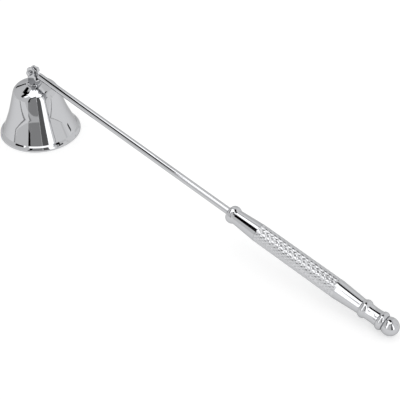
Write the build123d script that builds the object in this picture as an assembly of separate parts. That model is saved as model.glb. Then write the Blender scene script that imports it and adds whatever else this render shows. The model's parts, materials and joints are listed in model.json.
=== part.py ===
from build123d import *
from math import acos, asin, degrees, sqrt, tan
import os

# A candle snuffer: a small flared bell on a clevis hinge at the end of a thin
# rod, with a turned handle, a knurled grip and a ball finial at the far end.
# Millimetres, +Z up. The snuffer rests as it lies on a table, on the rim of
# its bell and on the ball. +X runs from the bell to the ball, and the origin
# is on the table, under the middle of the whole snuffer.

# Bell
rim_radius = 20.0
bell_height = 27.2
bell_wall = 0.9
lip_height = 2.0
lip_lean = 0.85
lip_width = 1.4
lip_round = 0.35
ledge_width = 0.85
ledge_rise = 0.5
waist_radius = 14.6
waist_height = 11.5
waist_round = 64.0
shoulder_radius = 10.5
shoulder_round = 4.5
crown_drop = 1.75
crown_flat_radius = 4.8
crown_round = 9.0

# Clevis on the crown
pin_rise = 6.5
ear_radius = 2.6
ear_thickness = 0.95
slot_depth = 3.9
foot_radius = 3.4
foot_height = 0.7
ear_edge_round = 0.15

# Hinge pin and its cap
pin_radius = 0.8
pin_head_radius = 1.25
pin_head_rim = 1.4
pin_head_height = 1.8
cap_bore_depth = 1.0

# Screw and washer under the crown
screw_radius = 1.25
screw_reach = 1.9
screw_head_radius = 2.4
screw_head_height = 1.3
screw_slot_width = 0.6
screw_slot_depth = 0.6
washer_radius = 3.4
washer_thickness = 0.5

# Rod
rod_radius = 1.6
core_radius = 1.25
tongue_thickness = 1.3
eye_radius = 2.3
tongue_reach = 3.4
tongue_root_height = 1.9
tongue_blend_length = 2.0

# Handle, front to back: ferrule, grip, tail cone, spool and ball
handle_start = 127.1
front_face_radius = 2.9
front_bead_radius = 3.95
front_bead_length = 4.1
front_neck_radius = 3.25
front_cone_length = 12.1
rod_seat_depth = 2.0
grip_radius = 4.075
grip_length = 41.1
grip_wall = 1.0
grip_edge_bevel = 0.2
spigot_length = 6.0
tail_cone_length = 11.1
tail_neck_radius = 3.25
bead_radius = 3.97
bead_foot_radius = 3.3
groove_length = 0.4
inner_bead_length = 3.1
outer_bead_length = 2.7
waist_length = 5.1
waist_spool_radius = 3.18
ball_radius = 3.75
ball_seat_radius = 2.97
thread_reach = 2.6

# Clearances
running_clearance = 0.05
side_clearance = 0.1
sliding_clearance = 0.02
cut_overrun = 1.0

# Places along the rod, from the pin's axis
front_neck = handle_start + front_bead_length
grip_start = front_neck + front_cone_length
grip_end = grip_start + grip_length
tail_end = grip_end + tail_cone_length
spool_length = groove_length + inner_bead_length + waist_length + outer_bead_length
spool_end = tail_end + spool_length
pin_to_ball = spool_end + sqrt(ball_radius**2 - ball_seat_radius**2)

# Lie of the snuffer on the table
pin_height = bell_height + pin_rise
rod_slope = asin((pin_height - ball_radius) / pin_to_ball)
ball_reach = sqrt(pin_to_ball**2 - (pin_height - ball_radius) ** 2)
bell_place = (rim_radius - ball_radius - ball_reach) / 2

slot_width = tongue_thickness + 2 * side_clearance
clevis_half_width = slot_width / 2 + ear_thickness
slot_floor = pin_height - slot_depth
grip_bore_radius = grip_radius - grip_wall
core_bore_radius = core_radius + sliding_clearance

bell_frame = Location((bell_place, 0, 0))
rod_frame = Location((bell_place, 0, pin_height), (0, degrees(rod_slope), 0))


def inside_corner(before, corner, after):
    """The corner of a wall's inner face, next to a corner of its outer face."""
    coming = (corner - before).normalized()
    going = (after - corner).normalized()
    across_coming = Vector(-coming.Y, coming.X)
    across_going = Vector(-going.Y, going.X)
    share = 1 / (1 + across_coming.dot(across_going))
    return corner + (across_coming + across_going) * bell_wall * share


def rounded_run(corners, rounds):
    """Straight runs from corner to corner, each inner corner turned into an arc."""
    edges = []
    start = corners[0]
    for before, corner, after, corner_round in zip(corners, corners[1:], corners[2:], rounds):
        coming = (corner - before).normalized()
        going = (after - corner).normalized()
        setback = corner_round * tan(acos(coming.dot(going)) / 2)
        arc_start = corner - coming * setback
        arc_end = corner + going * setback
        edges.append(Line(start, arc_start))
        edges.append(TangentArc(arc_start, arc_end, tangent=coming))
        start = arc_end
    edges.append(Line(start, corners[-1]))
    return edges


def bell_shell():
    """Open, thin-walled bell with a leaning lip and a hole in its crown."""
    lip_top = Vector(rim_radius - lip_lean, lip_height)
    hole_edge = screw_radius + running_clearance
    outer_corners = [
        Vector(lip_top.X - ledge_width, lip_height + ledge_rise),
        Vector(waist_radius, waist_height),
        Vector(shoulder_radius, bell_height - crown_drop),
        Vector(crown_flat_radius, bell_height),
        Vector(hole_edge, bell_height),
    ]
    inner_corners = [Vector(rim_radius - lip_width, 0)]
    for before, corner, after in zip(outer_corners, outer_corners[1:], outer_corners[2:]):
        inner_corners.append(inside_corner(before, corner, after))
    inner_corners.append(Vector(hole_edge, bell_height - bell_wall))
    outer = rounded_run(outer_corners, [waist_round, shoulder_round, crown_round])
    inner = rounded_run(
        inner_corners,
        [waist_round + bell_wall, shoulder_round - bell_wall, crown_round - bell_wall],
    )
    lip = [
        Line(inner_corners[0], (rim_radius - lip_round, 0)),
        RadiusArc((rim_radius - lip_round, 0), (rim_radius, lip_round), -lip_round),
        TangentArc((rim_radius, lip_round), lip_top, tangent=(0, 1)),
        Line(lip_top, outer_corners[0]),
    ]
    hole = Line(outer_corners[-1], inner_corners[-1])
    section = make_face(Curve() + lip + outer + [hole] + inner)
    return revolve(Plane.XZ * section, Axis.Z)


def hinge_clevis():
    """Two round-topped ears on a round foot, bored for the pin."""
    block_height = pin_height - bell_height
    side_view = Pos(0, block_height / 2) * Rectangle(2 * ear_radius, block_height)
    side_view += Pos(0, block_height) * Circle(ear_radius)
    body = extrude(Plane.XZ * side_view, clevis_half_width, both=True)
    foot = Cylinder(
        foot_radius, foot_height, align=(Align.CENTER, Align.CENTER, Align.MIN)
    )
    slot = Pos(0, 0, slot_floor - bell_height) * Box(
        2 * (ear_radius + cut_overrun),
        slot_width,
        slot_depth + ear_radius + cut_overrun,
        align=(Align.CENTER, Align.CENTER, Align.MIN),
    )
    pin_hole = Pos(0, 0, block_height) * Rot(90, 0, 0) * Cylinder(
        pin_radius, 2 * (clevis_half_width + cut_overrun)
    )
    ear_edges = body.faces().filter_by(Axis.Y).edges()
    body = fillet(ear_edges.filter_by(lambda e: e.center().Z > foot_height), ear_edge_round)
    screw_hole = Cylinder(
        screw_radius, screw_reach, align=(Align.CENTER, Align.CENTER, Align.MIN)
    )
    clevis = body + foot - slot - pin_hole - screw_hole
    return Pos(0, 0, bell_height) * clevis


def domed_head(base_radius, rim_height, total_height):
    """Half section of a domed pin head, standing on the axis."""
    rise = total_height - rim_height
    dome_radius = (base_radius**2 + rise**2) / (2 * rise)
    return make_face(
        Curve()
        + [
            Line((0, 0), (base_radius, 0)),
            Line((base_radius, 0), (base_radius, rim_height)),
            RadiusArc((base_radius, rim_height), (0, total_height), -dome_radius),
            Line((0, total_height), (0, 0)),
        ]
    )


def pin_head():
    section = domed_head(pin_head_radius, pin_head_rim, pin_head_height)
    return revolve(Plane.XZ * section, Axis.Z)


def hinge_pin():
    """Pin with a domed head on the -Y side, its shank ending inside the cap."""
    shank = Cylinder(
        pin_radius,
        2 * clevis_half_width + cap_bore_depth,
        align=(Align.CENTER, Align.CENTER, Align.MAX),
    )
    pin = pin_head() + shank
    return Pos(0, -clevis_half_width, pin_height) * Rot(90, 0, 0) * pin


def pin_cap():
    """Domed cap on the far end of the pin."""
    bore = Cylinder(
        pin_radius, cap_bore_depth, align=(Align.CENTER, Align.CENTER, Align.MIN)
    )
    cap = pin_head() - bore
    return Pos(0, clevis_half_width, pin_height) * Rot(-90, 0, 0) * cap


def crown_washer():
    """Washer between the screw's head and the inside of the crown."""
    ring = Circle(washer_radius) - Circle(screw_radius + running_clearance)
    ceiling = bell_height - bell_wall
    return Pos(0, 0, ceiling - washer_thickness) * extrude(ring, washer_thickness)


def crown_screw():
    """Slotted screw that holds the clevis from inside the bell."""
    seat = bell_height - bell_wall - washer_thickness
    head = Pos(0, 0, seat - screw_head_height) * Cylinder(
        screw_head_radius,
        screw_head_height,
        align=(Align.CENTER, Align.CENTER, Align.MIN),
    )
    shank_length = bell_height + screw_reach - seat
    shank = Pos(0, 0, seat) * Cylinder(
        screw_radius, shank_length, align=(Align.CENTER, Align.CENTER, Align.MIN)
    )
    slot = Pos(0, 0, seat - screw_head_height) * Box(
        2 * (screw_head_radius + cut_overrun),
        screw_slot_width,
        screw_slot_depth,
        align=(Align.CENTER, Align.CENTER, Align.MIN),
    )
    return head + shank - slot


def snuffer_rod():
    """Round rod, pressed flat into an eye at the pin and thinner in the handle."""
    eye = Circle(eye_radius)
    neck = make_hull(
        (
            Circle(eye_radius)
            + Pos(tongue_reach, 0) * Rectangle(tongue_thickness / 2, 2 * tongue_root_height)
        ).edges()
    )
    tongue = extrude(Plane.XZ * (eye + neck), tongue_thickness / 2, both=True)
    root_place = Plane(origin=(tongue_reach, 0, 0), x_dir=(0, 1, 0), z_dir=(1, 0, 0))
    round_start = tongue_reach + tongue_blend_length
    round_place = Plane(origin=(round_start, 0, 0), x_dir=(0, 1, 0), z_dir=(1, 0, 0))
    blend = loft(
        [
            root_place * Ellipse(tongue_thickness / 2, tongue_root_height),
            round_place * Circle(rod_radius),
        ]
    )
    seat = handle_start + rod_seat_depth
    shaft = extrude(round_place * Circle(rod_radius), seat - round_start)
    seat_place = Plane(origin=(seat, 0, 0), x_dir=(0, 1, 0), z_dir=(1, 0, 0))
    core = extrude(seat_place * Circle(core_radius), spool_end + thread_reach - seat)
    pin_hole = Rot(90, 0, 0) * Cylinder(
        pin_radius + running_clearance, tongue_thickness + 2 * cut_overrun
    )
    return tongue + blend + shaft + core - pin_hole


def turned(edges):
    """A piece turned about the rod's axis from its half section."""
    return revolve(make_face(Curve() + edges), Axis.X)


def front_ferrule():
    """Round bead and long cone in front of the grip, with a spigot in it."""
    seat = handle_start + rod_seat_depth
    rod_bore = rod_radius + sliding_clearance
    spigot_radius = grip_bore_radius - sliding_clearance
    spigot_end = grip_start + spigot_length
    widest = Vector(handle_start + front_bead_length / 2, front_bead_radius)
    return turned(
        [
            Line((handle_start, rod_bore), (handle_start, front_face_radius)),
            ThreePointArc(
                (handle_start, front_face_radius), widest, (front_neck, front_neck_radius)
            ),
            Line((front_neck, front_neck_radius), (grip_start, grip_radius)),
            Line((grip_start, grip_radius), (grip_start, spigot_radius)),
            Line((grip_start, spigot_radius), (spigot_end, spigot_radius)),
            Line((spigot_end, spigot_radius), (spigot_end, core_bore_radius)),
            Line((spigot_end, core_bore_radius), (seat, core_bore_radius)),
            Line((seat, core_bore_radius), (seat, rod_bore)),
            Line((seat, rod_bore), (handle_start, rod_bore)),
        ]
    )


def grip_sleeve():
    """Straight tube that carries the knurling."""
    return turned(
        [
            Line((grip_start, grip_bore_radius), (grip_start, grip_radius - grip_edge_bevel)),
            Line(
                (grip_start, grip_radius - grip_edge_bevel),
                (grip_start + grip_edge_bevel, grip_radius),
            ),
            Line((grip_start + grip_edge_bevel, grip_radius), (grip_end, grip_radius)),
            Line((grip_end, grip_radius), (grip_end, grip_bore_radius)),
            Line((grip_end, grip_bore_radius), (grip_start, grip_bore_radius)),
        ]
    )


def tail_cone():
    """Cone behind the grip, with a spigot in it."""
    spigot_radius = grip_bore_radius - sliding_clearance
    spigot_start = grip_end - spigot_length
    return turned(
        [
            Line((spigot_start, core_bore_radius), (spigot_start, spigot_radius)),
            Line((spigot_start, spigot_radius), (grip_end, spigot_radius)),
            Line((grip_end, spigot_radius), (grip_end, grip_radius)),
            Line((grip_end, grip_radius), (tail_end, tail_neck_radius)),
            Line((tail_end, tail_neck_radius), (tail_end, core_bore_radius)),
            Line((tail_end, core_bore_radius), (spigot_start, core_bore_radius)),
        ]
    )


def tail_spool():
    """Two round beads with a hollow waist between them."""
    bead_start = tail_end + groove_length
    waist_start = bead_start + inner_bead_length
    waist_end = waist_start + waist_length
    waist_middle = (waist_start + waist_end) / 2
    return turned(
        [
            Line((tail_end, core_bore_radius), (tail_end, bead_foot_radius)),
            Line((tail_end, bead_foot_radius), (bead_start, bead_foot_radius)),
            ThreePointArc(
                (bead_start, bead_foot_radius),
                ((bead_start + waist_start) / 2, bead_radius),
                (waist_start, bead_foot_radius),
            ),
            ThreePointArc(
                (waist_start, bead_foot_radius),
                (waist_middle, waist_spool_radius),
                (waist_end, bead_foot_radius),
            ),
            ThreePointArc(
                (waist_end, bead_foot_radius),
                ((waist_end + spool_end) / 2, bead_radius),
                (spool_end, bead_foot_radius),
            ),
            Line((spool_end, bead_foot_radius), (spool_end, core_bore_radius)),
            Line((spool_end, core_bore_radius), (tail_end, core_bore_radius)),
        ]
    )


def ball_finial():
    """Ball screwed onto the end of the rod, flat where it meets the spool."""
    hole_end = spool_end + thread_reach
    ball_end = pin_to_ball + ball_radius
    crest = (pin_to_ball, ball_radius)
    return turned(
        [
            Line((spool_end, core_radius), (spool_end, ball_seat_radius)),
            ThreePointArc((spool_end, ball_seat_radius), crest, (ball_end, 0)),
            Line((ball_end, 0), (hole_end, 0)),
            Line((hole_end, 0), (hole_end, core_radius)),
            Line((hole_end, core_radius), (spool_end, core_radius)),
        ]
    )


bell_pieces = {
    "bell_shell": bell_shell,
    "hinge_clevis": hinge_clevis,
    "hinge_pin": hinge_pin,
    "pin_cap": pin_cap,
    "crown_washer": crown_washer,
    "crown_screw": crown_screw,
}
rod_pieces = {
    "snuffer_rod": snuffer_rod,
    "front_ferrule": front_ferrule,
    "grip_sleeve": grip_sleeve,
    "tail_cone": tail_cone,
    "tail_spool": tail_spool,
    "ball_finial": ball_finial,
}

os.makedirs("parts", exist_ok=True)
for place, pieces in ((bell_frame, bell_pieces), (rod_frame, rod_pieces)):
    for node, make in pieces.items():
        solid = place * make()
        solid.label = node
        export_step(solid, f"parts/{node}.step")
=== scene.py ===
import json
from math import acos, asin, atan2, cos, pi, radians, sin, tan

import bpy
from mathutils import Matrix, Vector


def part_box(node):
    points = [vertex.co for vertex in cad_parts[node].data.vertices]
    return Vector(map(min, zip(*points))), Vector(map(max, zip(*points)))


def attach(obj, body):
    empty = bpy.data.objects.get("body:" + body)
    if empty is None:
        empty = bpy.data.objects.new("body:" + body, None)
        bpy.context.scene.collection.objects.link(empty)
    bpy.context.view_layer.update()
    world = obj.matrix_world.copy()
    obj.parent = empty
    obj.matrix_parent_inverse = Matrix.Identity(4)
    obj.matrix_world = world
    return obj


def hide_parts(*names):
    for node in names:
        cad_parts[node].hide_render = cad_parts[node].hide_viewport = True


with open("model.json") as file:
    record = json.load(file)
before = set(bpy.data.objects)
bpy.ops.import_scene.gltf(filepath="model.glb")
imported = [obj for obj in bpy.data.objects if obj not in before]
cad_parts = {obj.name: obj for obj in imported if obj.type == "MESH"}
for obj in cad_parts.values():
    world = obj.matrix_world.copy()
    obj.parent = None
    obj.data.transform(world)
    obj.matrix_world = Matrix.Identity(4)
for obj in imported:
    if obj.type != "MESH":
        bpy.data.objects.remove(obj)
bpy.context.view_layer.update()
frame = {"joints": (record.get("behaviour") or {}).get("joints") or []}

bpy.ops.object.select_all(action="DESELECT")

# Mirror chrome
# Nickel and chrome plate over polished brass. It is bright and even, with the
# faint haze of handling and the finest polishing lines.
MM = 0.001


def chrome_finish(name, colour, polish, haze_scale, line_depth):
    """Chrome whose roughness varies in soft clouds, with faint polishing lines."""
    finish = bpy.data.materials.new(name)
    finish.use_nodes = True
    nodes = finish.node_tree.nodes
    link = finish.node_tree.links.new
    shader = nodes["Principled BSDF"]
    shader.inputs["Base Color"].default_value = (*colour, 1)
    shader.inputs["Metallic"].default_value = 1.0
    shader.inputs["Specular Tint"].default_value = (0.6, 0.6, 0.6, 1)
    place = nodes.new("ShaderNodeTexCoord")
    haze = nodes.new("ShaderNodeTexNoise")
    haze.inputs["Scale"].default_value = haze_scale
    haze.inputs["Detail"].default_value = 5
    roughness = nodes.new("ShaderNodeMapRange")
    roughness.inputs["From Min"].default_value = 0.4
    roughness.inputs["From Max"].default_value = 0.75
    roughness.inputs["To Min"].default_value = polish[0]
    roughness.inputs["To Max"].default_value = polish[1]
    link(place.outputs["Object"], haze.inputs["Vector"])
    link(haze.outputs["Fac"], roughness.inputs["Value"])
    link(roughness.outputs["Result"], shader.inputs["Roughness"])
    lines = nodes.new("ShaderNodeTexNoise")
    lines.inputs["Scale"].default_value = haze_scale * 30
    lines.inputs["Detail"].default_value = 2
    relief = nodes.new("ShaderNodeBump")
    relief.inputs["Strength"].default_value = 0.15
    relief.inputs["Distance"].default_value = line_depth
    link(place.outputs["Object"], lines.inputs["Vector"])
    link(lines.outputs["Fac"], relief.inputs["Height"])
    link(relief.outputs["Normal"], shader.inputs["Normal"])
    return finish


mirror_chrome = chrome_finish(
    "mirror_chrome", (0.53, 0.535, 0.55), (0.025, 0.06), 90, 0.000002
)

# Bell
# A thin bell, spun over a former from brass sheet and plated inside and out.
# Its edge is left thick as a lip, and the crown is flat where the hinge sits.
bell_low, bell_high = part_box("bell_shell")
BELL_X = (bell_low[0] + bell_high[0]) / 2
RIM_RADIUS = (bell_high[0] - bell_low[0]) / 2
BELL_HEIGHT = bell_high[2]


def rounded(corners):
    """Knots for an outline whose corners, each x, z and radius, become round arcs."""
    knots = []
    for i, (x, z, radius) in enumerate(corners):
        if not radius:
            knots.append((x, z, "VECTOR"))
            continue
        corner = Vector((x, 0, z))
        before = corners[i - 1]
        after = corners[(i + 1) % len(corners)]
        coming = (corner - Vector((before[0], 0, before[1]))).normalized()
        going = (Vector((after[0], 0, after[1])) - corner).normalized()
        turn = coming.angle(going)
        start = corner - coming * radius * tan(turn / 2)
        end = corner + going * radius * tan(turn / 2)
        reach = radius * tan(turn / 4) * 4 / 3
        knots.append((start.x, start.z, "RIGHT", start + coming * reach))
        knots.append((end.x, end.z, "LEFT", end - going * reach))
    return knots


def half_section(name, knots, closed):
    """Mesh outline in the XZ plane through the knots: each is x, z and a handle type."""
    bpy.ops.curve.primitive_bezier_curve_add(location=(0, 0, 0))
    outline = bpy.context.object
    outline.name = name
    outline.data.dimensions = "3D"
    outline.data.resolution_u = 12
    spline = outline.data.splines[0]
    spline.use_cyclic_u = closed
    spline.bezier_points.add(len(knots) - len(spline.bezier_points))
    for point, (x, z, kind, *reach) in zip(spline.bezier_points, knots):
        point.co = (x, 0, z)
        point.handle_left_type = "VECTOR" if reach else kind
        point.handle_right_type = "VECTOR" if reach else kind
        if kind == "LEFT":
            point.handle_left_type = "FREE"
            point.handle_left = reach[0]
        if kind == "RIGHT":
            point.handle_right_type = "FREE"
            point.handle_right = reach[0]
    bpy.ops.object.convert(target="MESH")
    return bpy.context.object


def spun(name, knots, centre, axis, closed=False, steps=128):
    """A turned piece: the outline is spun round the axis and its doubles merged."""
    piece = half_section(name, knots, closed)
    bpy.ops.object.mode_set(mode="EDIT")
    bpy.ops.mesh.select_all(action="SELECT")
    bpy.ops.mesh.spin(steps=steps, angle=2 * pi, center=centre, axis=axis)
    bpy.ops.mesh.select_all(action="SELECT")
    bpy.ops.mesh.remove_doubles(threshold=0.002 * MM)
    bpy.ops.mesh.normals_make_consistent(inside=False)
    bpy.ops.object.mode_set(mode="OBJECT")
    bpy.ops.object.shade_smooth_by_angle(angle=radians(25))
    return piece


def finish_piece(piece, material, body, *nodes):
    """Gives a finished piece its material and its body, and hides the CAD nodes it stands
    for.
    """
    piece.data.materials.clear()
    piece.data.materials.append(material)
    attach(piece, body)
    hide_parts(*nodes)
    piece.select_set(False)


BELL_WALL = 0.9 * MM
SCREW_HOLE = 1.3 * MM
RIM_FLAT = 1.4 * MM
LIP_ROUND = 0.35 * MM
LIP_UPRIGHT = 1.0 * MM
LIP_BLEND = 1.5 * MM
LIP_TOP = (19.15 * MM, 2.0 * MM)
LIP_TOP_ROUND = 0.12 * MM
LEDGE_END = (18.3 * MM, 2.5 * MM)
LEDGE_FILLET = 0.3 * MM
WAIST = (14.6 * MM, 11.5 * MM)
WAIST_ROUND = 64 * MM
SHOULDER = (10.5 * MM, 25.25 * MM)
SHOULDER_ROUND = 4.5 * MM
CROWN_RADIUS = 4.3 * MM
CROWN_ROUND = 3 * MM
INNER_CROWN_RADIUS = 4.15 * MM
INNER_CROWN_ROUND = 2.1 * MM
INNER_SHOULDER = (9.77 * MM, 24.55 * MM)
INNER_SHOULDER_ROUND = 3.6 * MM
INNER_WAIST = (13.75 * MM, 11.2 * MM)
INNER_WAIST_ROUND = 65 * MM

bell_corners = [
    (RIM_RADIUS - RIM_FLAT, 0, 0),
    (RIM_RADIUS, 0, LIP_ROUND),
    (RIM_RADIUS, LIP_UPRIGHT, LIP_BLEND),
    (*LIP_TOP, LIP_TOP_ROUND),
    (*LEDGE_END, LEDGE_FILLET),
    (*WAIST, WAIST_ROUND),
    (*SHOULDER, SHOULDER_ROUND),
    (CROWN_RADIUS, BELL_HEIGHT, CROWN_ROUND),
    (SCREW_HOLE, BELL_HEIGHT, 0),
    (SCREW_HOLE, BELL_HEIGHT - BELL_WALL, 0),
    (INNER_CROWN_RADIUS, BELL_HEIGHT - BELL_WALL, INNER_CROWN_ROUND),
    (*INNER_SHOULDER, INNER_SHOULDER_ROUND),
    (*INNER_WAIST, INNER_WAIST_ROUND),
]
bell = spun(
    "bell",
    rounded([(BELL_X + x, z, radius) for x, z, radius in bell_corners]),
    (BELL_X, 0, 0),
    (0, 0, 1),
    closed=True,
    steps=160,
)
finish_piece(bell, mirror_chrome, "bell", "bell_shell")

# Hinge clevis
# A small milled bracket with two round-topped ears on a round foot. It stands
# on the crown, and the screw inside the bell pulls it down.
hinge = frame["joints"][0]
PIN_Z = hinge["pos_m"][2]
clevis_low, clevis_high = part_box("hinge_clevis")
EAR_RADIUS = clevis_high[2] - PIN_Z
FOOT_RADIUS = (clevis_high[0] - clevis_low[0]) / 2
FOOT_HEIGHT = 0.7 * MM
CLEVIS_WIDTH = 3.4 * MM
SLOT_WIDTH = 1.5 * MM
SLOT_DEPTH = 3.9 * MM
SLOT_CUTTER_LENGTH = 12 * MM
SLOT_CUTTER_HEIGHT = 10 * MM
EAR_EDGE = 0.14 * MM


def cut_away(piece, cutter):
    """Cuts the cutter's shape out of the piece and removes the cutter."""
    cut = piece.modifiers.new("cut", "BOOLEAN")
    cut.operation = "DIFFERENCE"
    cut.solver = "EXACT"
    cut.object = cutter
    bpy.ops.object.select_all(action="DESELECT")
    bpy.context.view_layer.objects.active = piece
    bpy.ops.object.modifier_apply(modifier=cut.name)
    bpy.data.objects.remove(cutter)


def soften_edges(piece, width):
    """Rounds the sharp edges of a piece by the given width."""
    bevel = piece.modifiers.new("soft_edges", "BEVEL")
    bevel.width = width
    bevel.segments = 3
    bevel.limit_method = "ANGLE"
    bevel.angle_limit = radians(40)
    bevel.harden_normals = False
    bpy.ops.object.select_all(action="DESELECT")
    piece.select_set(True)
    bpy.context.view_layer.objects.active = piece
    bpy.ops.object.modifier_apply(modifier=bevel.name)
    bpy.ops.object.shade_smooth_by_angle(angle=radians(35))


bpy.ops.object.select_all(action="DESELECT")
bpy.ops.mesh.primitive_cylinder_add(
    vertices=96,
    radius=EAR_RADIUS,
    depth=CLEVIS_WIDTH,
    location=(BELL_X, 0, PIN_Z),
    rotation=(pi / 2, 0, 0),
)
clevis = bpy.context.object
clevis.name = "clevis"
bpy.ops.object.transform_apply(location=True, rotation=True, scale=True)
bpy.ops.object.mode_set(mode="EDIT")
bpy.ops.mesh.select_all(action="SELECT")
bpy.ops.mesh.bisect(
    plane_co=(BELL_X, 0, PIN_Z),
    plane_no=(0, 0, -1),
    clear_outer=True,
    use_fill=True,
)
bpy.ops.mesh.extrude_region_move(
    TRANSFORM_OT_translate={"value": (0, 0, BELL_HEIGHT - PIN_Z)}
)
bpy.ops.mesh.select_all(action="SELECT")
bpy.ops.mesh.normals_make_consistent(inside=False)
bpy.ops.object.mode_set(mode="OBJECT")

bpy.ops.mesh.primitive_cube_add(
    size=1,
    location=(BELL_X, 0, PIN_Z - SLOT_DEPTH + SLOT_CUTTER_HEIGHT / 2),
    scale=(SLOT_CUTTER_LENGTH, SLOT_WIDTH, SLOT_CUTTER_HEIGHT),
)
cut_away(clevis, bpy.context.object)
soften_edges(clevis, EAR_EDGE)
foot = spun(
    "clevis_foot",
    [
        (BELL_X, BELL_HEIGHT, "VECTOR"),
        (BELL_X + FOOT_RADIUS, BELL_HEIGHT, "VECTOR"),
        (BELL_X + FOOT_RADIUS, BELL_HEIGHT + FOOT_HEIGHT * 0.5, "VECTOR"),
        (BELL_X + FOOT_RADIUS - FOOT_HEIGHT * 0.2, BELL_HEIGHT + FOOT_HEIGHT * 0.85, "AUTO"),
        (BELL_X + FOOT_RADIUS - FOOT_HEIGHT * 0.6, BELL_HEIGHT + FOOT_HEIGHT, "VECTOR"),
        (BELL_X, BELL_HEIGHT + FOOT_HEIGHT, "VECTOR"),
    ],
    (BELL_X, 0, 0),
    (0, 0, 1),
    steps=64,
)
bpy.ops.object.select_all(action="DESELECT")
foot.select_set(True)
clevis.select_set(True)
bpy.context.view_layer.objects.active = clevis
bpy.ops.object.join()
finish_piece(clevis, mirror_chrome, "bell", "hinge_clevis")

# Hinge pin and cap
# A headed pin, pushed through the ears and the eye, with a domed cap pressed
# on its far end, so that both sides show the same round head.
PIN_RADIUS = 0.8 * MM
HEAD_RADIUS = 1.25 * MM
HEAD_RIM = 1.4 * MM
HEAD_DOME = 0.4 * MM
EAR_FACE = CLEVIS_WIDTH / 2
PIN_END = EAR_FACE + 1.0 * MM


def lay_along(piece, place):
    """Moves a piece drawn along X from the origin onto its own line."""
    piece.matrix_world = place
    bpy.ops.object.select_all(action="DESELECT")
    piece.select_set(True)
    bpy.context.view_layer.objects.active = piece
    bpy.ops.object.transform_apply(location=True, rotation=True, scale=True)


pin_place = Matrix.Translation((BELL_X, 0, PIN_Z)) @ Matrix.Rotation(pi / 2, 4, "Z")
for name, node, side in (("pin", "hinge_pin", -1), ("cap", "pin_cap", 1)):
    head_start = EAR_FACE * side
    dome_start = (EAR_FACE + HEAD_RIM) * side
    dome = HEAD_DOME * side
    headed = spun(
        name,
        [
            (PIN_END, 0, "VECTOR"),
            (PIN_END, PIN_RADIUS, "VECTOR"),
            (head_start, PIN_RADIUS, "VECTOR"),
            (head_start, HEAD_RADIUS, "VECTOR"),
            (dome_start, HEAD_RADIUS, "VECTOR"),
            (dome_start + dome * 0.25, HEAD_RADIUS * 0.94, "AUTO"),
            (dome_start + dome * 0.675, HEAD_RADIUS * 0.6, "AUTO"),
            (dome_start + dome, 0, "AUTO"),
        ],
        (0, 0, 0),
        (1, 0, 0),
        steps=64,
    )
    lay_along(headed, pin_place)
    finish_piece(headed, mirror_chrome, "bell", node)

# Rod
# Drawn brass rod, plated. Its front end is pressed flat and rounded into an
# eye for the pin, and its back end runs through the handle to the ball.
ROD_RADIUS = 1.6 * MM
CORE_RADIUS = 1.25 * MM
TONGUE_THICKNESS = 1.3 * MM
EYE_RADIUS = 2.3 * MM
TONGUE_REACH = 3.4 * MM
TONGUE_ROOT = 1.9 * MM
BLEND_LENGTH = 2.0 * MM
EYE_START_SHARE = 0.9
PIN_CLEARANCE = 0.05 * MM
EYE_CUTTER_LENGTH = 6 * MM
SEAT_DEPTH = 2.0 * MM
SEAT_STEP = 0.0001 * MM
HANDLE_START = 127.1 * MM
FERRULE_LENGTH = 16.2 * MM
GRIP_LENGTH = 41.1 * MM
CONE_LENGTH = 11.1 * MM
SPOOL_LENGTH = 11.3 * MM
BALL_RADIUS = 3.75 * MM
BALL_REACH = 2.289 * MM
THREAD_LENGTH = 2.6 * MM
GRIP_START = HANDLE_START + FERRULE_LENGTH
GRIP_END = GRIP_START + GRIP_LENGTH
CONE_END = GRIP_END + CONE_LENGTH
SPOOL_END = CONE_END + SPOOL_LENGTH
BALL_CENTRE = SPOOL_END + BALL_REACH
ROD_SEAT = HANDLE_START + SEAT_DEPTH
ROD_END = SPOOL_END + THREAD_LENGTH
rod_slope = asin((PIN_Z - BALL_RADIUS) / BALL_CENTRE)
rod_place = Matrix.Translation((BELL_X, 0, PIN_Z)) @ Matrix.Rotation(rod_slope, 4, "Y")

bpy.ops.object.select_all(action="DESELECT")
bpy.ops.mesh.primitive_circle_add(
    vertices=64, radius=ROD_RADIUS, fill_type="NOTHING", rotation=(0, pi / 2, 0)
)
rod = bpy.context.object
rod.name = "rod"
rod.location.x = ROD_SEAT
bpy.ops.object.transform_apply(location=True, rotation=True, scale=True)
bpy.ops.object.mode_set(mode="EDIT")
bpy.ops.mesh.select_all(action="SELECT")
section = [ROD_SEAT, ROD_RADIUS, ROD_RADIUS]


def next_section(x, half_width, half_height):
    """Carries the rod's skin on to a new cross-section at x."""
    bpy.ops.mesh.extrude_edges_move(
        TRANSFORM_OT_translate={"value": (x - section[0], 0, 0)}
    )
    bpy.ops.transform.resize(
        value=(1, half_width / section[1], half_height / section[2]),
        center_override=(x, 0, 0),
    )
    section[:] = [x, half_width, half_height]


rod_steps = 12
for i in range(1, rod_steps + 1):
    next_section(
        ROD_SEAT + (TONGUE_REACH + BLEND_LENGTH - ROD_SEAT) * i / rod_steps,
        ROD_RADIUS,
        ROD_RADIUS,
    )
blend_steps = 10
for i in range(1, blend_steps + 1):
    share = i / blend_steps
    ease = share * share * (3 - 2 * share)
    next_section(
        TONGUE_REACH + BLEND_LENGTH * (1 - share),
        ROD_RADIUS + (TONGUE_THICKNESS / 2 - ROD_RADIUS) * ease,
        ROD_RADIUS + (TONGUE_ROOT - ROD_RADIUS) * ease,
    )
eye_steps = 18
swell = asin(TONGUE_ROOT / EYE_RADIUS * EYE_START_SHARE)
for i in range(eye_steps):
    turn = swell + (pi - swell) * i / eye_steps
    next_section(EYE_RADIUS * cos(turn), TONGUE_THICKNESS / 2, EYE_RADIUS * sin(turn))
bpy.ops.mesh.edge_face_add()
bpy.ops.mesh.select_all(action="DESELECT")
bpy.ops.object.mode_set(mode="OBJECT")
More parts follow.
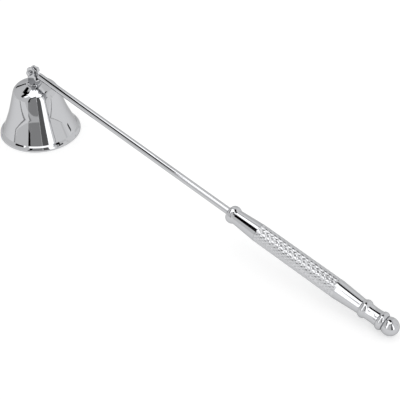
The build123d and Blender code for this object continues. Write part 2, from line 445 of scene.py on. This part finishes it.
for vertex in rod.data.vertices:
    vertex.select = abs(vertex.co.x - ROD_SEAT) < SEAT_STEP * 10
bpy.ops.object.mode_set(mode="EDIT")
bpy.ops.mesh.select_mode(type="VERT")
section[:] = [ROD_SEAT, ROD_RADIUS, ROD_RADIUS]
next_section(ROD_SEAT + SEAT_STEP, CORE_RADIUS, CORE_RADIUS)
next_section(ROD_END, CORE_RADIUS, CORE_RADIUS)
bpy.ops.mesh.edge_face_add()
bpy.ops.mesh.select_all(action="SELECT")
bpy.ops.mesh.normals_make_consistent(inside=False)
bpy.ops.object.mode_set(mode="OBJECT")
bpy.ops.object.shade_smooth_by_angle(angle=radians(40))
bpy.ops.mesh.primitive_cylinder_add(
    vertices=48,
    radius=PIN_RADIUS + PIN_CLEARANCE,
    depth=EYE_CUTTER_LENGTH,
    rotation=(pi / 2, 0, 0),
)
cut_away(rod, bpy.context.object)
lay_along(rod, rod_place)
finish_piece(rod, mirror_chrome, "handle", "snuffer_rod")

# Front ferrule
# Turned brass, plated: a round bead and a slim cone that widens to the grip.
# It is bored for the rod and sits on the rod's shoulder.
FRONT_BEAD_LENGTH = 4.1 * MM
FRONT_BEAD_MIDDLE = HANDLE_START + FRONT_BEAD_LENGTH / 2
FRONT_BEAD_RADIUS = 3.95 * MM
FRONT_BEAD_SIDE = 3.76 * MM
FRONT_NECK = HANDLE_START + FRONT_BEAD_LENGTH
NECK_RADIUS = 3.25 * MM
GRIP_RADIUS = 4.075 * MM
FERRULE_STEP = 0.02 * MM
ferrule = spun(
    "ferrule",
    [
        (HANDLE_START, ROD_RADIUS, "VECTOR"),
        (HANDLE_START, 2.75 * MM, "VECTOR"),
        (FRONT_BEAD_MIDDLE - 1.8 * MM, 3.2 * MM, "AUTO"),
        (FRONT_BEAD_MIDDLE - 1.05 * MM, FRONT_BEAD_SIDE, "AUTO"),
        (FRONT_BEAD_MIDDLE, FRONT_BEAD_RADIUS, "AUTO"),
        (FRONT_BEAD_MIDDLE + 1.05 * MM, FRONT_BEAD_SIDE, "AUTO"),
        (FRONT_BEAD_MIDDLE + 1.75 * MM, 3.42 * MM, "AUTO"),
        (FRONT_NECK, NECK_RADIUS, "VECTOR"),
        (GRIP_START, GRIP_RADIUS - FERRULE_STEP, "VECTOR"),
        (GRIP_START, ROD_RADIUS, "VECTOR"),
    ],
    (0, 0, 0),
    (1, 0, 0),
    closed=True,
)
lay_along(ferrule, rod_place)
finish_piece(ferrule, mirror_chrome, "handle", "front_ferrule")

# Grip
# A brass tube, rolled with a fine diamond knurl between two plain margins and
# then plated, so that every small pyramid keeps a soft bright edge.
KNURL_START = GRIP_START + 0.2 * MM
KNURL_END = GRIP_END - 0.95 * MM
KNURL_DEPTH = 0.12 * MM
KNURL_FLAT = 0.35
KNURL_COLUMNS = 17
KNURLS_ROUND = 18
SLEEVE_BORE = 3.1 * MM
SLEEVE_CHAMFER = 0.12 * MM
SLEEVE_STEP = 0.15 * MM
GROOVE_LEAD = 0.1 * MM
knurl_length = (KNURL_END - KNURL_START) / KNURL_COLUMNS
knurl_width = 2 * pi * GRIP_RADIUS / KNURLS_ROUND

knurl_finish = chrome_finish(
    "knurled_chrome", (0.58, 0.585, 0.6), (0.16, 0.3), 400, 0.000004
)

bpy.ops.object.select_all(action="DESELECT")
bpy.ops.mesh.primitive_cone_add(
    vertices=4,
    radius1=0.5,
    radius2=0.5 * KNURL_FLAT,
    depth=KNURL_DEPTH,
    location=(0, 0, KNURL_DEPTH / 2),
)
knurl = bpy.context.object
knurl.name = "knurl"
knurl.scale = (knurl_length, knurl_width, 1)
bpy.ops.object.transform_apply(location=True, rotation=True, scale=True)
bpy.ops.object.mode_set(mode="EDIT")
bpy.ops.mesh.select_all(action="SELECT")
bpy.ops.mesh.duplicate_move(
    TRANSFORM_OT_translate={"value": (knurl_length / 2, knurl_width / 2, 0)}
)
bpy.ops.object.mode_set(mode="OBJECT")
for name, count, step in (
    ("columns", KNURL_COLUMNS, (knurl_length, 0, 0)),
    ("ring", KNURLS_ROUND, (0, knurl_width, 0)),
):
    row = knurl.modifiers.new(name, "ARRAY")
    row.count = count
    row.use_relative_offset = False
    row.use_constant_offset = True
    row.constant_offset_displace = step
    bpy.ops.object.modifier_apply(modifier=row.name)
for vertex in knurl.data.vertices:
    turn = vertex.co.y / GRIP_RADIUS
    radius = GRIP_RADIUS - KNURL_DEPTH + vertex.co.z
    vertex.co = (
        KNURL_START + knurl_length / 2 + vertex.co.x,
        radius * sin(turn),
        radius * cos(turn),
    )
sleeve = spun(
    "sleeve",
    [
        (GRIP_START, SLEEVE_BORE, "VECTOR"),
        (GRIP_START, GRIP_RADIUS - SLEEVE_STEP, "VECTOR"),
        (GRIP_START + SLEEVE_CHAMFER, GRIP_RADIUS, "VECTOR"),
        (KNURL_START - GROOVE_LEAD / 2, GRIP_RADIUS, "VECTOR"),
        (KNURL_START + GROOVE_LEAD, GRIP_RADIUS - KNURL_DEPTH, "VECTOR"),
        (KNURL_END - GROOVE_LEAD, GRIP_RADIUS - KNURL_DEPTH, "VECTOR"),
        (KNURL_END, GRIP_RADIUS, "VECTOR"),
        (GRIP_END, GRIP_RADIUS, "VECTOR"),
        (GRIP_END, SLEEVE_BORE, "VECTOR"),
    ],
    (0, 0, 0),
    (1, 0, 0),
    closed=True,
)
bpy.ops.object.select_all(action="DESELECT")
knurl.select_set(True)
sleeve.select_set(True)
bpy.context.view_layer.objects.active = sleeve
bpy.ops.object.join()
lay_along(sleeve, rod_place)
finish_piece(sleeve, knurl_finish, "handle", "grip_sleeve")

# Tail cone
# Turned brass, plated. It narrows from the grip to the spool, and the rod's
# thin core runs through it.
cone = spun(
    "cone",
    [
        (GRIP_END, CORE_RADIUS, "VECTOR"),
        (GRIP_END, GRIP_RADIUS, "VECTOR"),
        (CONE_END, NECK_RADIUS, "VECTOR"),
        (CONE_END, CORE_RADIUS, "VECTOR"),
    ],
    (0, 0, 0),
    (1, 0, 0),
    closed=True,
)
lay_along(cone, rod_place)
finish_piece(cone, mirror_chrome, "handle", "tail_cone")

# Spool
# Turned brass, plated: two round beads with a hollow waist between them.
BEAD_FOOT = 3.3 * MM
BEAD_RADIUS = 3.97 * MM
FIRST_BEAD = (CONE_END + 0.4 * MM, CONE_END + 3.5 * MM)
LAST_BEAD = (SPOOL_END - 2.7 * MM, SPOOL_END)
SPOOL_WAIST = (CONE_END + 6.05 * MM, 3.18 * MM)


def bead_knots(start, end):
    """A round bead between two places along the rod."""
    middle = (start + end) / 2
    half = (end - start) / 2
    rise = BEAD_RADIUS - BEAD_FOOT
    return [
        (start, BEAD_FOOT, "VECTOR"),
        (middle - half * 0.6, BEAD_FOOT + rise * 0.68, "AUTO"),
        (middle, BEAD_RADIUS, "AUTO"),
        (middle + half * 0.6, BEAD_FOOT + rise * 0.68, "AUTO"),
        (end, BEAD_FOOT, "VECTOR"),
    ]


spool = spun(
    "spool",
    [(CONE_END, CORE_RADIUS, "VECTOR"), (CONE_END, BEAD_FOOT, "VECTOR")]
    + bead_knots(*FIRST_BEAD)
    + [(*SPOOL_WAIST, "AUTO")]
    + bead_knots(*LAST_BEAD)
    + [(SPOOL_END, CORE_RADIUS, "VECTOR")],
    (0, 0, 0),
    (1, 0, 0),
    closed=True,
)
lay_along(spool, rod_place)
finish_piece(spool, mirror_chrome, "handle", "tail_spool")

# Ball finial
# A turned brass ball, plated, drilled and tapped on one side. It screws onto
# the rod's end and holds the whole handle together.
seat_turn = acos((SPOOL_END - BALL_CENTRE) / BALL_RADIUS)
ball_knots = [(SPOOL_END, 0, "VECTOR")]
ball_steps = 12
for i in range(ball_steps + 1):
    turn = seat_turn * (1 - i / ball_steps)
    ball_knots.append(
        (
            BALL_CENTRE + BALL_RADIUS * cos(turn),
            BALL_RADIUS * sin(turn),
            "AUTO" if i else "VECTOR",
        )
    )
ball = spun("ball", ball_knots, (0, 0, 0), (1, 0, 0))
lay_along(ball, rod_place)
finish_piece(ball, mirror_chrome, "handle", "ball_finial")

# Crown screw and washer
# A slotted steel screw, plated dull, goes up through a washer and the crown
# and into the clevis from inside the bell.
steel_finish = chrome_finish("plated_steel", (0.5, 0.5, 0.5), (0.1, 0.3), 700, 0.00001)
washer_low, washer_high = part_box("crown_washer")
screw_low, screw_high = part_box("crown_screw")
WASHER_RADIUS = (washer_high[0] - washer_low[0]) / 2
SCREW_HEAD = (screw_high[0] - screw_low[0]) / 2
SCREW_RADIUS = 1.25 * MM
WASHER_EDGE = 0.1 * MM
SCREW_SLOT_WIDTH = 0.6 * MM
SCREW_SLOT_DEPTH = 0.6 * MM
SCREW_SLOT_LENGTH = 8 * MM
washer = spun(
    "washer",
    [
        (BELL_X + SCREW_HOLE, washer_low[2], "VECTOR"),
        (BELL_X + WASHER_RADIUS - WASHER_EDGE, washer_low[2], "VECTOR"),
        (BELL_X + WASHER_RADIUS, washer_low[2] + WASHER_EDGE, "VECTOR"),
        (BELL_X + WASHER_RADIUS, washer_high[2], "VECTOR"),
        (BELL_X + SCREW_HOLE, washer_high[2], "VECTOR"),
    ],
    (BELL_X, 0, 0),
    (0, 0, 1),
    closed=True,
    steps=64,
)
finish_piece(washer, steel_finish, "bell", "crown_washer")
screw = spun(
    "screw",
    [
        (BELL_X, screw_low[2], "VECTOR"),
        (BELL_X + SCREW_HEAD * 0.55, screw_low[2] + 0.08 * MM, "AUTO"),
        (BELL_X + SCREW_HEAD * 0.9, screw_low[2] + 0.35 * MM, "AUTO"),
        (BELL_X + SCREW_HEAD, screw_low[2] + 0.75 * MM, "AUTO"),
        (BELL_X + SCREW_HEAD, washer_low[2], "VECTOR"),
        (BELL_X + SCREW_RADIUS, washer_low[2], "VECTOR"),
        (BELL_X + SCREW_RADIUS, screw_high[2], "VECTOR"),
        (BELL_X, screw_high[2], "VECTOR"),
    ],
    (BELL_X, 0, 0),
    (0, 0, 1),
    steps=64,
)
bpy.ops.mesh.primitive_cube_add(
    size=1,
    location=(BELL_X, 0, screw_low[2]),
    scale=(SCREW_SLOT_LENGTH, SCREW_SLOT_WIDTH, SCREW_SLOT_DEPTH * 2),
)
cut_away(screw, bpy.context.object)
finish_piece(screw, steel_finish, "bell", "crown_screw")

# Studio
# A pale table under a long softbox, with pale walls, a dark gap and two white
# panels in front. Places are given from the middle of the bell's foot.
STUDIO_TURN = radians(144.5)


def show_to_rays(finish, camera_strength, glossy_strength, diffuse_strength):
    """An emission whose strength differs for camera, glossy and all other rays."""
    nodes = finish.node_tree.nodes
    link = finish.node_tree.links.new
    path = nodes.new("ShaderNodeLightPath")
    seen = nodes.new("ShaderNodeMix")
    seen.inputs["A"].default_value = diffuse_strength
    seen.inputs["B"].default_value = camera_strength
    mirrored = nodes.new("ShaderNodeMix")
    mirrored.inputs["B"].default_value = glossy_strength
    link(path.outputs["Is Camera Ray"], seen.inputs["Factor"])
    link(path.outputs["Is Glossy Ray"], mirrored.inputs["Factor"])
    link(seen.outputs["Result"], mirrored.inputs["A"])
    return mirrored.outputs["Result"]


world = bpy.data.worlds.new("studio")
bpy.context.scene.world = world
world.use_nodes = True
sky = world.node_tree.nodes["Background"]
sky.inputs["Color"].default_value = (1.0, 1.0, 1.0, 1)
world.node_tree.links.new(show_to_rays(world, 1.0, 0.85, 1.0), sky.inputs["Strength"])


def card_finish(name, strength):
    """An even card that gives off its own light."""
    finish = bpy.data.materials.new(name)
    finish.use_nodes = True
    nodes = finish.node_tree.nodes
    nodes.remove(nodes["Principled BSDF"])
    glow = nodes.new("ShaderNodeEmission")
    glow.inputs["Strength"].default_value = strength
    finish.node_tree.links.new(
        glow.outputs["Emission"], nodes["Material Output"].inputs["Surface"]
    )
    return finish


white_card = card_finish("white_card", 2.1)
pale_card = card_finish("pale_card", 1.0)
soft_card = card_finish("soft_card", 0.7)
grey_card = card_finish("grey_card", 0.36)
dark_card = card_finish("dark_card", 0.15)
black_card = card_finish("black_card", 0.0)


def card(name, finish, centre, size, turn):
    """A flat card that only mirrors show; its size is along its own X and Y."""
    bpy.ops.object.select_all(action="DESELECT")
    bpy.ops.mesh.primitive_plane_add(size=1)
    panel = bpy.context.object
    panel.name = name
    panel.scale = (size[0], size[1], 1)
    panel.rotation_euler = turn
    panel.location = Vector((BELL_X, 0, 0)) + Vector(centre)
    panel.data.materials.append(finish)
    panel.visible_camera = False
    panel.visible_diffuse = False
    panel.visible_shadow = False


def ceiling_card(name, finish, height, away, across, turn=0.0):
    """A level card: away from the camera it spans one range, across it another."""
    middle = Matrix.Rotation(STUDIO_TURN, 3, "Z") @ Vector(
        ((away[0] + away[1]) / 2, -(across[0] + across[1]) / 2, height)
    )
    size = (away[1] - away[0], across[1] - across[0])
    card(name, finish, middle, size, (0, 0, STUDIO_TURN + turn))


def wall_card(name, finish, distance, azimuths, heights):
    """An upright card that faces the bell over a range of azimuths, in degrees."""
    azimuth = radians((azimuths[0] + azimuths[1]) / 2)
    width = 2 * distance * sin(radians(azimuths[1] - azimuths[0]) / 2)
    middle = (
        distance * cos(azimuth),
        distance * sin(azimuth),
        (heights[0] + heights[1]) / 2,
    )
    card(
        name,
        finish,
        middle,
        (width, heights[1] - heights[0]),
        (pi / 2, 0, azimuth + pi / 2),
    )


ceiling_card("top_box", white_card, 1.0, (-0.5, 0.48), (-0.36, 0.31))
ceiling_card("top_box_far", pale_card, 1.0, (0.48, 1.15), (-0.2, 0.31))
ceiling_card("frame_right", black_card, 0.995, (-0.45, 0.5), (0.31, 0.45))
ceiling_card("frame_front", black_card, 0.99, (-0.66, -0.5), (-0.34, 0.31))
ceiling_card("screen_corner", black_card, 0.98, (0.2, 0.58), (-0.5, -0.31), -0.73)
ceiling_card("screen_back", black_card, 0.985, (0.45, 0.95), (-0.44, -0.3))
ceiling_card("screen_left", black_card, 3.0, (-0.26, 0.72), (-4.5, -1.35), 0.33)
ceiling_card("strip_left", white_card, 3.0, (-0.7, 0.01), (-2.81, -1.27), 0.33)
card("pale_screen", pale_card, (0.095, 0.066, 0.1), (0.08, 0.068), (0, 0, 0))
card("screen_edge", black_card, (0.0925, 0.027, 0.1), (0.085, 0.01), (0, 0, 0))
card("handle_bar", black_card, (0.17, 0.029, 0.1), (0.09, 0.034), (0, 0, -0.38))
# A small black card beside the bell's foot, seen only in mirrors: a painted dark reflection
# in the bell's chrome.
dark_reflection_mark_turn = (pi / 2, 0, radians(155))
card("dark_reflection_mark", black_card, (0.0312, 0.0361, 0.0036), (0.0038, 0.0036), dark_reflection_mark_turn)


def leaning_card(name, finish, start, end, width):
    """A long card from start to end, turned so that its face looks at the bell."""
    line = (end - start).normalized()
    middle = (start + end) / 2
    across = middle.cross(line).normalized()
    turn = Matrix((line, across, line.cross(across))).transposed().to_euler()
    card(name, finish, middle, ((end - start).length, width), turn)


leaning_card(
    "slanted_bar",
    black_card,
    Vector((-1.209, 0.616, 0.848)),
    Vector((-1.507, 0.19, 0.348)),
    0.16,
)
PANEL_START = (0.161, -0.12)
PANEL_SLOPE = 0.05
PANEL_LEAN = atan2(-1, PANEL_SLOPE)


def panel_card(name, finish, side, reach, heights):
    """An upright card beside the handle, on the line of the white panel."""
    middle = (reach[0] + reach[1]) / 2
    place = (
        PANEL_START[0] + side - (middle - PANEL_START[1]) * PANEL_SLOPE,
        middle,
        (heights[0] + heights[1]) / 2,
    )
    size = (abs(reach[1] - reach[0]), heights[1] - heights[0])
    card(name, finish, place, size, (pi / 2, 0, PANEL_LEAN))


panel_card("side_panel", white_card, 0.0, (-0.12, -0.9), (0.05, 0.95))
panel_card("side_foot", pale_card, 0.0, (-0.12, -0.9), (0.0, 0.05))
panel_card("panel_back_far", black_card, -0.005, (-0.45, -0.9), (0.09, 1.4))
panel_card("panel_back_foot", grey_card, -0.005, (-0.12, -0.9), (0.0, 0.01))
panel_card("panel_back_line", soft_card, -0.005, (-0.12, -0.9), (0.01, 0.02))
panel_card("panel_back_edge", grey_card, -0.005, (-0.45, -0.9), (0.02, 0.09))
panel_card("panel_back_low", grey_card, -0.005, (-0.12, -0.45), (0.02, 0.5))
panel_card("panel_back_high", black_card, -0.005, (-0.12, -0.45), (0.5, 0.95))
wall_card("gap_right", dark_card, 1.2, (-38, -19), (-0.02, 2.0))
wall_card("upright_panel", white_card, 1.2, (-19, -4), (-0.02, 2.0))
wall_card("right_wall", pale_card, 1.6, (-13, 40), (-0.02, 2.4))
wall_card("far_right_wall", pale_card, 1.6, (40, 95), (-0.02, 2.4))
TABLE_EDGE_HEIGHT = 0.004
for name, corner, length, turn in (
    ("table_edge_left", (-0.2, -0.06), 0.32, pi / 2),
    ("table_edge_front", (-0.115, -0.22), 0.3, 0),
    ("table_edge_right", (0.45, 0.2), 0.5, pi / 2),
):
    place = (*corner, TABLE_EDGE_HEIGHT / 2)
    card(name, grey_card, place, (length, TABLE_EDGE_HEIGHT), (pi / 2, 0, turn))

bpy.ops.object.select_all(action="DESELECT")
bpy.ops.mesh.primitive_plane_add(size=6)
floor = bpy.context.object
floor.name = "floor"
floor_finish = bpy.data.materials.new("pale_floor")
floor_finish.use_nodes = True
floor_shader = floor_finish.node_tree.nodes["Principled BSDF"]
floor_shader.inputs["Base Color"].default_value = (0.62, 0.62, 0.62, 1)
floor_shader.inputs["Roughness"].default_value = 0.9
floor_shader.inputs["Specular IOR Level"].default_value = 0.0
floor_shader.inputs["Emission Color"].default_value = (1, 1, 1, 1)
floor_shader.inputs["Emission Strength"].default_value = 0.45
floor.data.materials.append(floor_finish)

# Camera
# It stands in front and to the right of the bell, looking down at the table.
SENSOR_WIDTH = 36
FOCAL_SHARE = 917.914 / 400
camera_data = bpy.data.cameras.new("camera")
camera_data.sensor_width = SENSOR_WIDTH
camera_data.lens = FOCAL_SHARE * SENSOR_WIDTH
camera_data.shift_x = 0.001
camera_data.shift_y = 0.0006
camera_data.clip_start = 0.01
camera_data.clip_end = 20
camera = bpy.data.objects.new("camera", camera_data)
bpy.context.scene.collection.objects.link(camera)
bpy.context.scene.camera = camera
right = Vector((0.73760, 0.67522, -0.00529))
up = Vector((-0.41897, 0.46379, 0.78061))
back = right.cross(up)
place = Vector((BELL_X + 318.753 * MM, -227.735 * MM, 260.761 * MM))
camera.matrix_world = Matrix(
    (
        (right.x, up.x, back.x, place.x),
        (right.y, up.y, back.y, place.y),
        (right.z, up.z, back.z, place.z),
        (0, 0, 0, 1),
    )
)

bpy.context.scene.view_settings.view_transform = "Standard"
